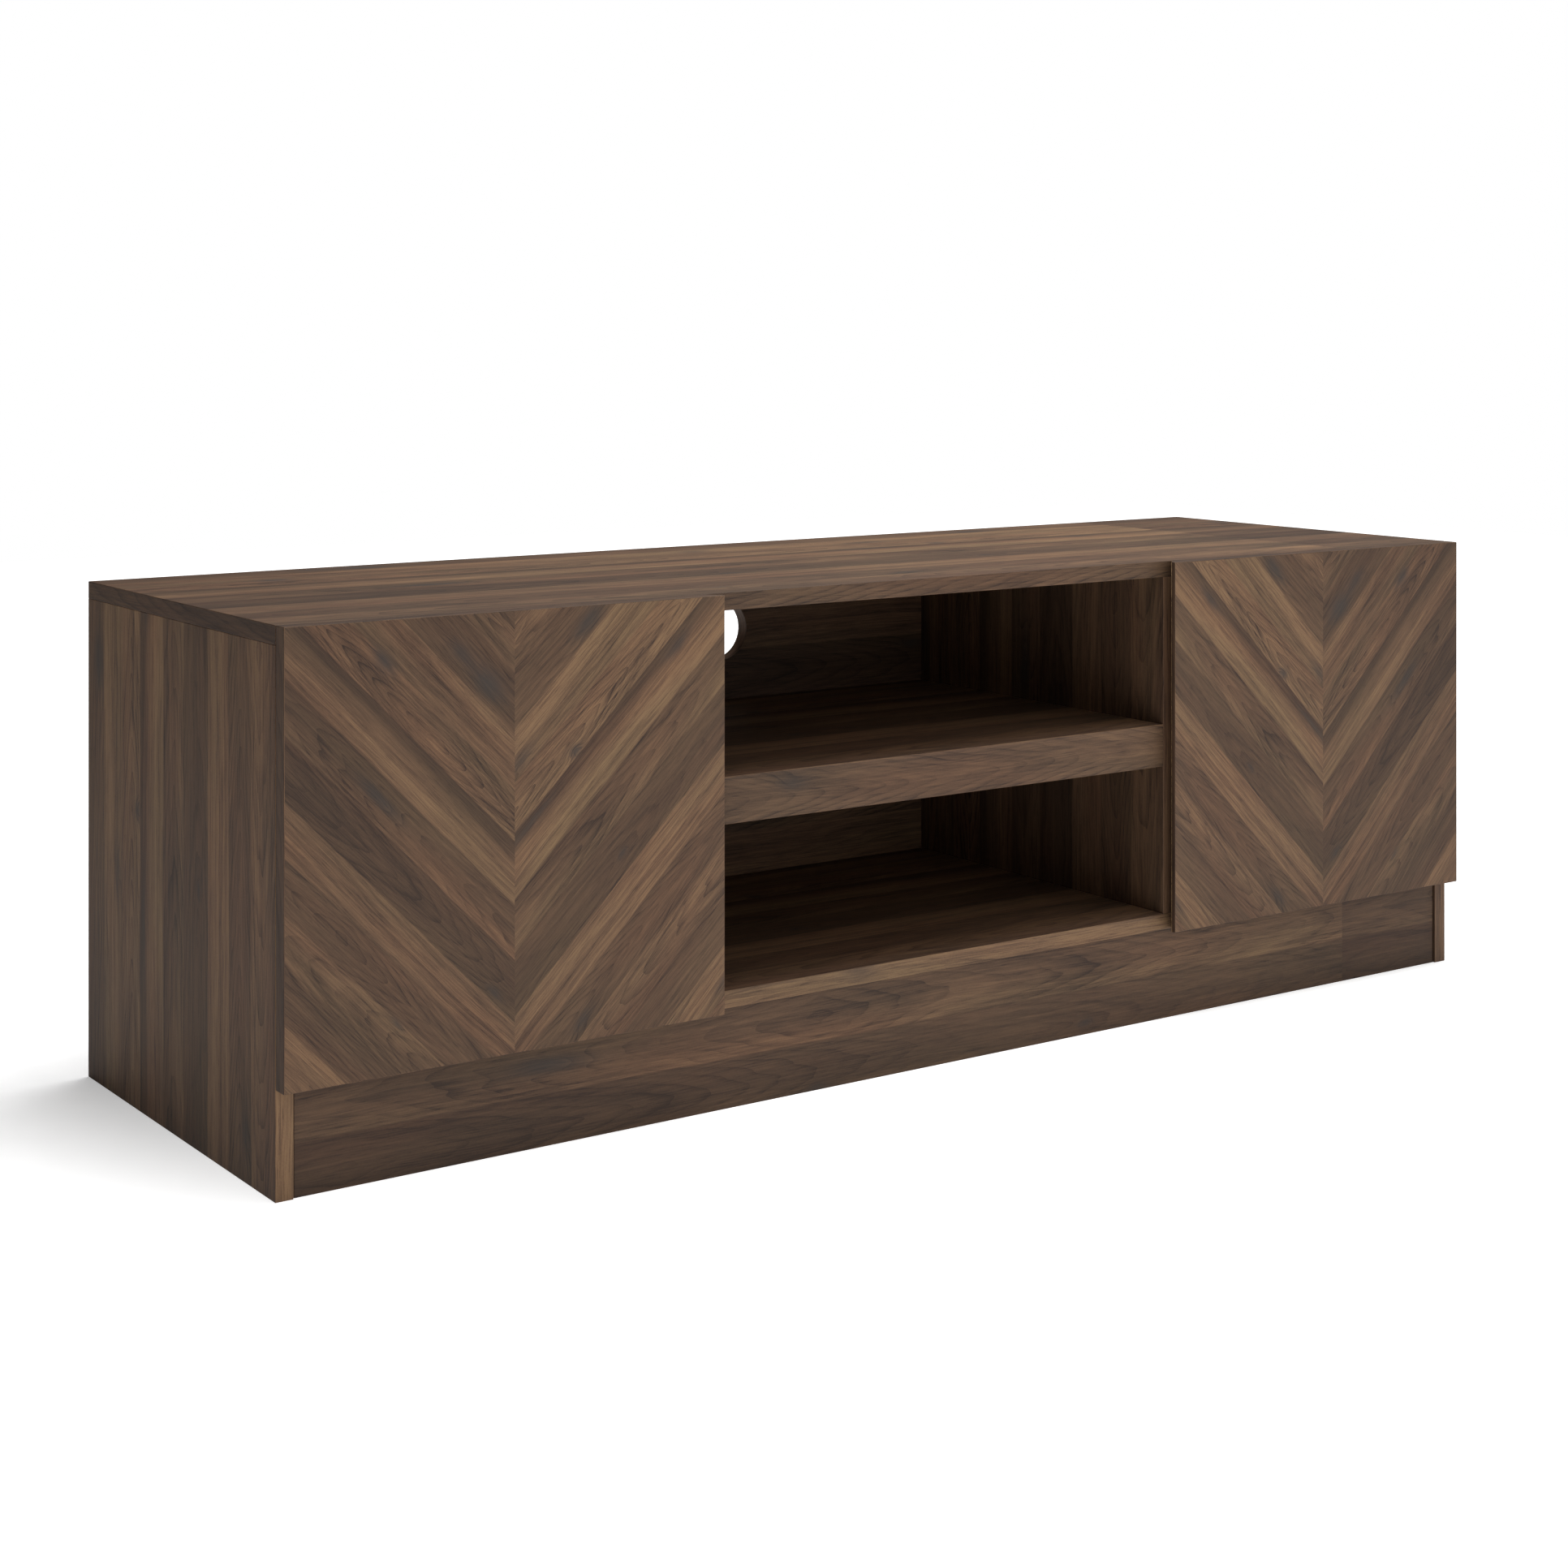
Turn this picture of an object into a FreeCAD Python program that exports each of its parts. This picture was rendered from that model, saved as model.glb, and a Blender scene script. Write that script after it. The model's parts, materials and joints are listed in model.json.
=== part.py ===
"""Low television stand with two chevron doors round an open bay, in laminated 15 mm board.

The frame is in millimetres: +X to the right as you face the doors, +Y to the back, +Z up.
The origin is on the floor, under the middle of the whole stand, doors included.
Flat-pack construction: cam fixings and dowels between the boards, two concealed cup hinges a door.
"""
import FreeCAD, Part
import os

# ---------------------------------------------------------------- driving dimensions
WIDTH = 1300.0           # over both side panels
HEIGHT = 435.0           # floor to the top face
CARCASS_DEPTH = 400.0    # front edge of the side panels to their back edge
BOARD = 15.0             # every board is this thick
DOOR_GAP = 1.0           # between a shut door and the carcass
DOOR_WIDTH = 395.0
PLINTH_HEIGHT = 85.0
PLINTH_SETBACK = 2.0     # the front plinth stands this far behind the side panels' edges
PLINTH_END_GAP = 1.0     # left at each end of a plinth
BACK_SETBACK = 10.0      # the back panel stands this far in from the side panels' back edges
SHELF_TOP = 280.0        # height of the open bay's shelf
SHELF_FACE = 40.0        # height of the shelf's built-up front edge
SHELF_STRIP_DEPTH = 60.0
EDGE_BAND = 1.0
CABLE_HOLE_RADIUS = 30.0
CABLE_HOLE_HEIGHT = 350.0
DOOR_PULL = 10.0         # bevel behind a door's opening edge, for the fingertips

# ---------------------------------------------------------------- places worked out from them
DOOR_STANDOFF = DOOR_GAP + BOARD
LEFT = -WIDTH / 2
RIGHT = WIDTH / 2
FRONT = DOOR_STANDOFF - (CARCASS_DEPTH + DOOR_STANDOFF) / 2
BACK = FRONT + CARCASS_DEPTH
UNDER_TOP = HEIGHT - BOARD
BAY_FLOOR = PLINTH_HEIGHT + BOARD
BACK_FACE = BACK - BACK_SETBACK - BOARD     # the back panel's front face
BACK_REAR = BACK - BACK_SETBACK
INNER_LEFT = LEFT + BOARD
INNER_RIGHT = RIGHT - BOARD
BAY_LEFT = LEFT + DOOR_WIDTH                # the bay lies between the dividers' inner faces
BAY_RIGHT = RIGHT - DOOR_WIDTH
SHELF_UNDER = SHELF_TOP - BOARD

# ---------------------------------------------------------------- fixings
CAM_RADIUS = 7.4
CAM_POCKET_RADIUS = 7.5
CAM_DEPTH = 12.0
CAM_POCKET_DEPTH = 12.5
CAM_SETBACK = 24.0       # joint plane to the cam's centre
BOLT_THREAD_RADIUS = 2.5
BOLT_THREAD_LENGTH = 11.0
BOLT_COLLAR_RADIUS = 3.4
BOLT_COLLAR_LENGTH = 12.0
BOLT_NECK_RADIUS = 1.8
BOLT_HEAD_RADIUS = 2.9
BOLT_HEAD_AT = 22.0
BOLT_HOLE_RADIUS = 4.0
DOWEL_RADIUS = 3.95
DOWEL_HOLE_RADIUS = 4.0
DOWEL_IN_EDGE = 20.0
DOWEL_IN_FACE = 10.0
HOLE_SPARE = 0.5
SCREW_LENGTH = 50.0
SCREW_THREAD_RADIUS = 2.5
SCREW_SHANK_RADIUS = 3.5
SCREW_HEAD_RADIUS = 5.0
SCREW_HEAD_DEPTH = 3.0
SCREW_SHANK_LENGTH = 12.0
STRIP_SCREW_LENGTH = 35.0
STRIP_SCREW_RADIUS = 1.9
STRIP_SCREW_HEAD_RADIUS = 3.8

# ---------------------------------------------------------------- concealed hinge, left door
# u is measured inwards from the side panel's outer face, w back from the carcass's front edge.
HINGE_FROM_END = 75.0    # door's top or bottom end to a hinge's centre
CUP_U = 22.0
CUP_RADIUS = 17.5
CUP_DEPTH = 12.0
CUP_WALL = 0.8
FLANGE_THICK = 0.6
FLANGE_RADIUS = 19.0
CUP_SCREW_U = 28.0
CUP_SCREW_Z = 24.0
CUP_SCREW_RADIUS = 1.75
CUP_SCREW_HEAD_RADIUS = 3.5
CUP_SCREW_HEAD_DEPTH = 1.6
CUP_SCREW_LENGTH = 11.0
CUP_EAR_RADIUS = 6.0
ARM_PIN = (24.0, -6.5)   # (u, w) of the pin in the arm's nose
CUP_PIN = (8.4, -5.5)    # (u, w) of the pin in the cup
LINK_BEND = (12.2, -10.1)  # where the cranked link dips under the cup's rim when shut
CUP_CHEEK_INSIDE = 5.8   # the cup's two inner cheeks carry its pin
CUP_CHEEK_U = 11.4
CUP_CHEEK_TOP_W = -2.5
CUP_PIN_HALF_LENGTH = 9.2
PIN_RADIUS = 1.0
PIN_CLEARANCE = 0.05
LINK_HALF_WIDTH = 5.0
LINK_THICK = 1.8
LINK_BOSS_RADIUS = 1.9
ARM_CHEEK_INSIDE = 5.6
ARM_CHEEK_OUTSIDE = 6.8
ARM_WEB_THICK = 1.5
ARM_TOP_U = 31.0
ARM_FOOT_U = 20.5
ARM_END_W = 58.0
ARM_WEB_START_W = 9.0
PLATE_THICK = 2.0
PLATE_W = 37.0           # plate screws' line behind the carcass's front edge
PLATE_WING_HALF_W = 8.0
PLATE_WING_HALF_Z = 24.0
PLATE_SCREW_Z = 16.0
PLATE_RIDGE_HALF_Z = 5.4
PLATE_RIDGE_TOP_U = 22.0
PLATE_RIDGE_START_W = 18.0
PLATE_RIDGE_END_W = 56.0
PLATE_SCREW_RADIUS = 3.0
PLATE_SCREW_HEAD_RADIUS = 4.2
PLATE_SCREW_DEPTH = 11.0
ADJUST_SCREW_RADIUS = 2.5
ADJUST_SCREW_HEAD_RADIUS = 4.0
ADJUST_SIDE_W = 27.0
ADJUST_DEPTH_W = 48.0
BUMPER_RADIUS = 4.0
BUMPER_THICK = 0.9
BUMPER_U = 372.0

X_AXIS = FreeCAD.Vector(1, 0, 0)
Y_AXIS = FreeCAD.Vector(0, 1, 0)
Z_AXIS = FreeCAD.Vector(0, 0, 1)


# ---------------------------------------------------------------- shape helpers
def block(x, y, z):
    """A box between pairs of coordinates, each given as (low, high)."""
    corner = FreeCAD.Vector(x[0], y[0], z[0])
    return Part.makeBox(x[1] - x[0], y[1] - y[0], z[1] - z[0], corner)


def rod(start, direction, radius, length):
    return Part.makeCylinder(radius, length, start, direction)


def fused(shapes):
    whole = shapes[0].multiFuse(shapes[1:])
    return whole.removeSplitter()


def prism(points, low, high):
    """A closed outline of (x, y) points, extruded from z = low to z = high."""
    corners = [FreeCAD.Vector(x, y, low) for x, y in points]
    face = Part.Face(Part.makePolygon(corners + corners[:1]))
    return face.extrude(Z_AXIS * (high - low))


def slanted(direction):
    """Any unit vector square to direction."""
    helper = Z_AXIS if abs(direction.z) < 0.5 else X_AXIS
    return direction.cross(helper).normalize()


def mirrored(shape):
    return shape.mirror(FreeCAD.Vector(0, 0, 0), X_AXIS)


# ---------------------------------------------------------------- boards
def plain_boards():
    """Every flat board before it is drilled, by node name."""
    depth = (FRONT, BACK)
    inner = (INNER_LEFT, INNER_RIGHT)
    upright = (BAY_FLOOR, UNDER_TOP)
    between = (INNER_LEFT + PLINTH_END_GAP, INNER_RIGHT - PLINTH_END_GAP)
    plinth_front = FRONT + PLINTH_SETBACK
    boards = {
        "top_panel": block((LEFT, RIGHT), depth, (UNDER_TOP, HEIGHT)),
        "left_side_panel": block((LEFT, INNER_LEFT), depth, (0, UNDER_TOP)),
        "right_side_panel": block((INNER_RIGHT, RIGHT), depth, (0, UNDER_TOP)),
        "bottom_panel": block(inner, (FRONT, BACK_REAR), (PLINTH_HEIGHT, BAY_FLOOR)),
        "back_panel": block(inner, (BACK_FACE, BACK_REAR), upright),
        "left_divider": block((BAY_LEFT - BOARD, BAY_LEFT), (FRONT, BACK_FACE), upright),
        "right_divider": block((BAY_RIGHT, BAY_RIGHT + BOARD), (FRONT, BACK_FACE), upright),
        "front_plinth": block(between, (plinth_front, plinth_front + BOARD), (0, PLINTH_HEIGHT)),
        "rear_plinth": block(between, (BACK_FACE, BACK_REAR), (0, PLINTH_HEIGHT)),
    }
    bay = (BAY_LEFT, BAY_RIGHT)
    behind_band = FRONT + EDGE_BAND
    boards["centre_shelf"] = block(bay, (behind_band, BACK_FACE), (SHELF_UNDER, SHELF_TOP))
    strip_depth = (behind_band, behind_band + SHELF_STRIP_DEPTH)
    face_height = (SHELF_TOP - SHELF_FACE, SHELF_TOP)
    boards["shelf_buildup_strip"] = block(bay, strip_depth, (face_height[0], SHELF_UNDER))
    boards["shelf_edge_band"] = block(bay, (FRONT, behind_band), face_height)
    hole = rod(FreeCAD.Vector(0, BACK_FACE, CABLE_HOLE_HEIGHT), Y_AXIS, CABLE_HOLE_RADIUS, BOARD)
    boards["back_panel"] = boards["back_panel"].cut(hole)
    return boards


def left_door_board():
    """The left door's board: square at the hinge edge, bevelled behind the opening edge."""
    back = FRONT - DOOR_GAP
    face = back - BOARD
    free_edge = LEFT + DOOR_WIDTH
    outline = [
        (LEFT, back),
        (LEFT, face),
        (free_edge, face),
        (free_edge, back - DOOR_PULL),
        (free_edge - DOOR_PULL, back),
    ]
    return prism(outline, PLINTH_HEIGHT, HEIGHT)


# ---------------------------------------------------------------- fixings between boards
class Fixings:
    """Drills the boards and collects the cams, bolts, dowels and screws that hold them."""

    def __init__(self, boards):
        self.boards = boards
        self.cams = []
        self.bolts = []
        self.dowels = []
        self.screws = []
        self.strip_screws = []

    def drill(self, board, cutter):
        self.boards[board] = self.boards[board].cut(cutter)

    def cam(self, edge_board, face_board, joint, outward, cam_face):
        """A cam let into edge_board's cam_face draws a bolt that stands in face_board."""
        inward = outward * -1
        centre = joint + inward * CAM_SETBACK
        mouth = centre + cam_face * (BOARD / 2)
        sunk = cam_face * -1
        self.drill(edge_board, rod(joint, inward, BOLT_HOLE_RADIUS, CAM_SETBACK))
        self.drill(edge_board, rod(mouth, sunk, CAM_POCKET_RADIUS, CAM_POCKET_DEPTH))
        self.drill(face_board, rod(joint, outward, BOLT_THREAD_RADIUS, BOLT_THREAD_LENGTH))
        self.cams.append(cam_disc(centre, mouth, sunk, outward))
        self.bolts.append(cam_bolt(joint, inward, outward))

    def dowel(self, edge_board, face_board, joint, outward):
        inward = outward * -1
        self.drill(edge_board, rod(joint, inward, DOWEL_HOLE_RADIUS, DOWEL_IN_EDGE + HOLE_SPARE))
        self.drill(face_board, rod(joint, outward, DOWEL_HOLE_RADIUS, DOWEL_IN_FACE + HOLE_SPARE))
        start = joint + inward * DOWEL_IN_EDGE
        pin = rod(start, outward, DOWEL_RADIUS, DOWEL_IN_EDGE + DOWEL_IN_FACE)
        rims = [e for e in pin.Edges if e.Closed]
        self.dowels.append(pin.makeChamfer(0.8, rims))

    def screw(self, face_board, edge_board, head, inward):
        """A stepped panel screw through face_board's thickness into edge_board's edge."""
        sink = Part.makeCone(SCREW_HEAD_RADIUS, SCREW_SHANK_RADIUS, SCREW_HEAD_DEPTH, head, inward)
        shank = rod(head, inward, SCREW_SHANK_RADIUS, SCREW_SHANK_LENGTH)
        thread = rod(head, inward, SCREW_THREAD_RADIUS, SCREW_LENGTH)
        solid = fused([sink, shank, thread])
        socket_depth = 2.5
        socket = rod(head, inward, 2.0, socket_depth)
        self.drill(face_board, solid)
        self.drill(edge_board, solid)
        self.screws.append(solid.cut(socket))

    def strip_screw(self, head):
        """A wood screw up through the build-up strip into the shelf."""
        cone_depth = STRIP_SCREW_HEAD_RADIUS - STRIP_SCREW_RADIUS
        cone = Part.makeCone(STRIP_SCREW_HEAD_RADIUS, STRIP_SCREW_RADIUS, cone_depth, head, Z_AXIS)
        solid = fused([cone, rod(head, Z_AXIS, STRIP_SCREW_RADIUS, STRIP_SCREW_LENGTH)])
        self.drill("shelf_buildup_strip", solid)
        self.drill("centre_shelf", solid)
        self.strip_screws.append(solid)


def cam_disc(centre, mouth, sunk, outward):
    """The cam: a short drum with a side mouth for the bolt's head and a cross slot on its face."""
    drum = rod(mouth, sunk, CAM_RADIUS, CAM_DEPTH)
    past_centre = 4.0
    channel_start = centre - outward * past_centre
    channel = rod(channel_start, outward, BOLT_COLLAR_RADIUS + 0.3, CAM_SETBACK)
    drum = drum.cut(channel)
    slot_half = 4.0
    slot_radius = 0.8
    slot_sink = 0.6
    across = slanted(sunk)
    for direction in (across, sunk.cross(across)):
        start = mouth + sunk * slot_sink - direction * slot_half
        groove = rod(start, direction, slot_radius, 2 * slot_half)
        drum = drum.cut(groove)
    return drum


def cam_bolt(joint, inward, outward):
    thread = rod(joint, outward, BOLT_THREAD_RADIUS, BOLT_THREAD_LENGTH)
    collar = rod(joint, inward, BOLT_COLLAR_RADIUS, BOLT_COLLAR_LENGTH)
    neck = rod(joint, inward, BOLT_NECK_RADIUS, BOLT_HEAD_AT)
    head = Part.makeSphere(BOLT_HEAD_RADIUS, joint + inward * BOLT_HEAD_AT)
    return fused([thread, collar, neck, head])


def side_sign(x):
    """+1 for a board right of the middle, -1 for one left of it."""
    return 1 if x > 0 else -1


def side_faces():
    """Each side panel with the x of its inner face."""
    return ((INNER_LEFT, "left_side_panel"), (INNER_RIGHT, "right_side_panel"))


def divider_faces():
    """Each divider with the x of its face towards the bay."""
    return ((BAY_LEFT, "left_divider"), (BAY_RIGHT, "right_divider"))


def fix_top(fix):
    """The top sits on the sides and dividers, with the cams in faces that the doors hide."""
    half = BOARD / 2
    rows = {
        "left_side_panel": (LEFT + half, X_AXIS, 340.0),
        "right_side_panel": (RIGHT - half, X_AXIS * -1, 340.0),
        "left_divider": (BAY_LEFT - half, X_AXIS * -1, 315.0),
        "right_divider": (BAY_RIGHT + half, X_AXIS, 315.0),
    }
    for board, (x, cam_face, rear) in rows.items():
        for behind_front in (60.0, rear):
            joint = FreeCAD.Vector(x, FRONT + behind_front, UNDER_TOP)
            fix.cam(board, "top_panel", joint, Z_AXIS, cam_face)
        for behind_front in (100.0, rear - 40.0):
            joint = FreeCAD.Vector(x, FRONT + behind_front, UNDER_TOP)
            fix.dowel(board, "top_panel", joint, Z_AXIS)


def fix_bottom(fix):
    """The bottom hangs between the sides; the dividers stand on it, screwed from below."""
    middle = PLINTH_HEIGHT + BOARD / 2
    for x, side in side_faces():
        outward = X_AXIS * side_sign(x)
        for behind_front in (60.0, 330.0):
            joint = FreeCAD.Vector(x, FRONT + behind_front, middle)
            fix.cam("bottom_panel", side, joint, outward, Z_AXIS * -1)
        for behind_front in (100.0, 290.0):
            joint = FreeCAD.Vector(x, FRONT + behind_front, middle)
            fix.dowel("bottom_panel", side, joint, outward)
    for x, divider in divider_faces():
        for behind_front in (60.0, 315.0):
            head = FreeCAD.Vector(x + side_sign(x) * BOARD / 2, FRONT + behind_front, PLINTH_HEIGHT)
            fix.screw("bottom_panel", divider, head, Z_AXIS)


def fix_back(fix):
    """The back panel is drawn to the sides by cams and screwed to the dividers from behind."""
    middle = BACK_REAR - BOARD / 2
    heights = (150.0, 370.0)
    for z in heights:
        for x, side in side_faces():
            joint = FreeCAD.Vector(x, middle, z)
            fix.cam("back_panel", side, joint, X_AXIS * side_sign(x), Y_AXIS)
        for x, divider in divider_faces():
            head = FreeCAD.Vector(x + side_sign(x) * BOARD / 2, BACK_REAR, z)
            fix.screw("back_panel", divider, head, Y_AXIS * -1)


def fix_plinths(fix):
    """Each plinth is drawn to the sides by cams on its hidden face and dowelled to the bottom."""
    plinths = (
        ("front_plinth", FRONT + PLINTH_SETBACK + BOARD / 2, Y_AXIS),
        ("rear_plinth", BACK_REAR - BOARD / 2, Y_AXIS * -1),
    )
    for plinth, y, cam_face in plinths:
        for x, side in side_faces():
            joint = FreeCAD.Vector(x, y, PLINTH_HEIGHT / 2)
            fix.cam(plinth, side, joint, X_AXIS * side_sign(x), cam_face)
        for x in (-500.0, -170.0, 170.0, 500.0):
            joint = FreeCAD.Vector(x, y, PLINTH_HEIGHT)
            fix.dowel(plinth, "bottom_panel", joint, Z_AXIS)


def fix_shelf(fix):
    """The bay's shelf is held by cams on its underside; screws hold the strip under its front."""
    middle = SHELF_TOP - BOARD / 2
    for x, divider in divider_faces():
        outward = X_AXIS * side_sign(x)
        for behind_front in (100.0, 320.0):
            joint = FreeCAD.Vector(x, FRONT + behind_front, middle)
            fix.cam("centre_shelf", divider, joint, outward, Z_AXIS * -1)
        for behind_front in (140.0, 280.0):
            joint = FreeCAD.Vector(x, FRONT + behind_front, middle)
            fix.dowel("centre_shelf", divider, joint, outward)
    strip_middle = FRONT + EDGE_BAND + SHELF_STRIP_DEPTH / 2
    for x in (-210.0, -70.0, 70.0, 210.0):
        fix.strip_screw(FreeCAD.Vector(x, strip_middle, SHELF_TOP - SHELF_FACE))


# ---------------------------------------------------------------- concealed hinge, left door
def hinge_point(u, w, z):
    return FreeCAD.Vector(LEFT + u, FRONT + w, z)


def across_hinge(at, z, half_length, radius):
    """A vertical rod, half_length each way from z, at (u, w)."""
    return rod(hinge_point(at[0], at[1], z - half_length), Z_AXIS, radius, 2 * half_length)


def hinge_prism(points, z, low, high):
    return prism([(LEFT + u, FRONT + w) for u, w in points], z + low, z + high)


def cup_bore(z):
    return rod(hinge_point(CUP_U, -DOOR_GAP, z), Y_AXIS * -1, CUP_RADIUS, CUP_DEPTH)


def cup_screw_places(z):
    return [hinge_point(CUP_SCREW_U, -DOOR_GAP, z + side * CUP_SCREW_Z) for side in (-1, 1)]


def hinge_cup(z):
    """A drawn steel cup with its flange, whose two ears take the screws."""
    mouth = hinge_point(CUP_U, -DOOR_GAP, z)
    outer = rod(mouth, Y_AXIS * -1, CUP_RADIUS, CUP_DEPTH)
    flange_parts = [rod(mouth, Y_AXIS, FLANGE_RADIUS, FLANGE_THICK)]
    ears = cup_screw_places(z)
    for ear in ears:
        flange_parts.append(rod(ear, Y_AXIS, CUP_EAR_RADIUS, FLANGE_THICK))
    bridge_u = (CUP_SCREW_U - CUP_EAR_RADIUS, CUP_SCREW_U + CUP_EAR_RADIUS)
    bridge = block(
        (LEFT + bridge_u[0], LEFT + bridge_u[1]),
        (mouth.y, mouth.y + FLANGE_THICK),
        (z - CUP_SCREW_Z, z + CUP_SCREW_Z),
    )
    shell = fused([outer, bridge] + flange_parts)
    hollow_top = mouth + Y_AXIS * FLANGE_THICK
    hollow_depth = CUP_DEPTH - CUP_WALL + FLANGE_THICK
    shell = shell.cut(rod(hollow_top, Y_AXIS * -1, CUP_RADIUS - CUP_WALL, hollow_depth))
    for ear in ears:
        shell = shell.cut(rod(ear, Y_AXIS, CUP_SCREW_RADIUS, FLANGE_THICK))
    shell = fused([shell] + cup_cheeks(outer, z))
    return shell.cut(across_hinge(CUP_PIN, z, CUP_PIN_HALF_LENGTH, PIN_RADIUS))


def cup_cheeks(outer, z):
    """The two blocks inside the cup, above and below the link, that its pin is pressed into."""
    cheeks = []
    for low, high in ((CUP_CHEEK_INSIDE, CUP_RADIUS), (-CUP_RADIUS, -CUP_CHEEK_INSIDE)):
        cheek = block(
            (LEFT + CUP_U - CUP_RADIUS, LEFT + CUP_CHEEK_U),
            (FRONT - DOOR_GAP - CUP_DEPTH, FRONT + CUP_CHEEK_TOP_W),
            (z + low, z + high),
        )
        cheeks.append(cheek.common(outer))
    return cheeks


def cup_screw(place):
    """A short wood screw through the flange, its head on the flange's face."""
    seat = place + Y_AXIS * FLANGE_THICK
    head = rod(seat, Y_AXIS, CUP_SCREW_HEAD_RADIUS, CUP_SCREW_HEAD_DEPTH)
    shank = rod(seat, Y_AXIS * -1, CUP_SCREW_RADIUS, CUP_SCREW_LENGTH)
    socket = rod(seat + Y_AXIS * CUP_SCREW_HEAD_DEPTH, Y_AXIS * -1, 1.2, 1.0)
    return fused([head, shank]).cut(socket)


def link_leg(start, end, z):
    """One straight leg of the cranked link."""
    du = end[0] - start[0]
    dw = end[1] - start[1]
    length = (du ** 2 + dw ** 2) ** 0.5
    side = (-dw / length * LINK_THICK / 2, du / length * LINK_THICK / 2)
    outline = [
        (start[0] + side[0], start[1] + side[1]),
        (end[0] + side[0], end[1] + side[1]),
        (end[0] - side[0], end[1] - side[1]),
        (start[0] - side[0], start[1] - side[1]),
    ]
    return hinge_prism(outline, z, -LINK_HALF_WIDTH, LINK_HALF_WIDTH)


def hinge_link(z):
    """The cranked link from the arm's nose to the cup, bored to turn on both pins."""
    parts = [
        link_leg(CUP_PIN, LINK_BEND, z),
        link_leg(LINK_BEND, ARM_PIN, z),
        across_hinge(LINK_BEND, z, LINK_HALF_WIDTH, LINK_THICK / 2),
        across_hinge(CUP_PIN, z, LINK_HALF_WIDTH, LINK_BOSS_RADIUS),
        across_hinge(ARM_PIN, z, LINK_HALF_WIDTH, LINK_BOSS_RADIUS),
    ]
    link = fused(parts)
    for pin in (CUP_PIN, ARM_PIN):
        link = link.cut(across_hinge(pin, z, LINK_HALF_WIDTH, PIN_RADIUS + PIN_CLEARANCE))
    return link


def hinge_arm(z):
    """A steel channel: two cheeks that carry the nose pin, joined by a web along its top."""
    cheek = [
        (21.4, -7.2),
        (22.6, -9.2),
        (25.6, -9.2),
        (27.0, -6.0),
        (28.0, -2.0),
        (ARM_TOP_U, 6.0),
        (ARM_TOP_U, ARM_END_W),
        (ARM_FOOT_U, ARM_END_W),
        (ARM_FOOT_U, 12.0),
        (21.0, 4.0),
    ]
    parts = [
        hinge_prism(cheek, z, ARM_CHEEK_INSIDE, ARM_CHEEK_OUTSIDE),
        hinge_prism(cheek, z, -ARM_CHEEK_OUTSIDE, -ARM_CHEEK_INSIDE),
    ]
    web_under = ARM_TOP_U - ARM_WEB_THICK
    web = [
        (web_under, ARM_WEB_START_W),
        (ARM_TOP_U, ARM_WEB_START_W),
        (ARM_TOP_U, ARM_END_W),
        (web_under, ARM_END_W),
    ]
    parts.append(hinge_prism(web, z, -ARM_CHEEK_OUTSIDE, ARM_CHEEK_OUTSIDE))
    arm = fused(parts)
    arm = arm.cut(across_hinge(ARM_PIN, z, ARM_CHEEK_OUTSIDE, PIN_RADIUS))
    for w in (ADJUST_SIDE_W, ADJUST_DEPTH_W):
        arm = arm.cut(rod(hinge_point(web_under, w, z), X_AXIS, ADJUST_SCREW_RADIUS, ARM_WEB_THICK))
    return arm


def mounting_plate(z):
    """A cross-shaped plate screwed to the side panel, with the ridge that the arm straddles."""
    wing = block(
        (INNER_LEFT, INNER_LEFT + PLATE_THICK),
        (FRONT + PLATE_W - PLATE_WING_HALF_W, FRONT + PLATE_W + PLATE_WING_HALF_W),
        (z - PLATE_WING_HALF_Z, z + PLATE_WING_HALF_Z),
    )
    ridge = block(
        (INNER_LEFT, LEFT + PLATE_RIDGE_TOP_U),
        (FRONT + PLATE_RIDGE_START_W, FRONT + PLATE_RIDGE_END_W),
        (z - PLATE_RIDGE_HALF_Z, z + PLATE_RIDGE_HALF_Z),
    )
    corners = [e for e in wing.Edges if e.Length < PLATE_THICK + 0.1]
    plate = fused([wing.makeFillet(5.0, corners), ridge])
    for side in (-1, 1):
        screw = FreeCAD.Vector(INNER_LEFT, FRONT + PLATE_W, z + side * PLATE_SCREW_Z)
        plate = plate.cut(rod(screw, X_AXIS, PLATE_SCREW_RADIUS, PLATE_THICK))
    tapped = rod(hinge_point(BOARD, ADJUST_DEPTH_W, z), X_AXIS, ADJUST_SCREW_RADIUS, BOARD)
    return plate.cut(tapped)


def plate_screw(z):
    seat = FreeCAD.Vector(INNER_LEFT + PLATE_THICK, FRONT + PLATE_W, z)
    head_height = 2.2
    head = Part.makeCone(PLATE_SCREW_HEAD_RADIUS, PLATE_SCREW_RADIUS, head_height, seat, X_AXIS)
    shank = rod(seat, X_AXIS * -1, PLATE_SCREW_RADIUS, PLATE_SCREW_DEPTH + PLATE_THICK)
    socket = rod(seat + X_AXIS * head_height, X_AXIS * -1, 1.6, 1.4)
    return fused([head, shank]).cut(socket)


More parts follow.
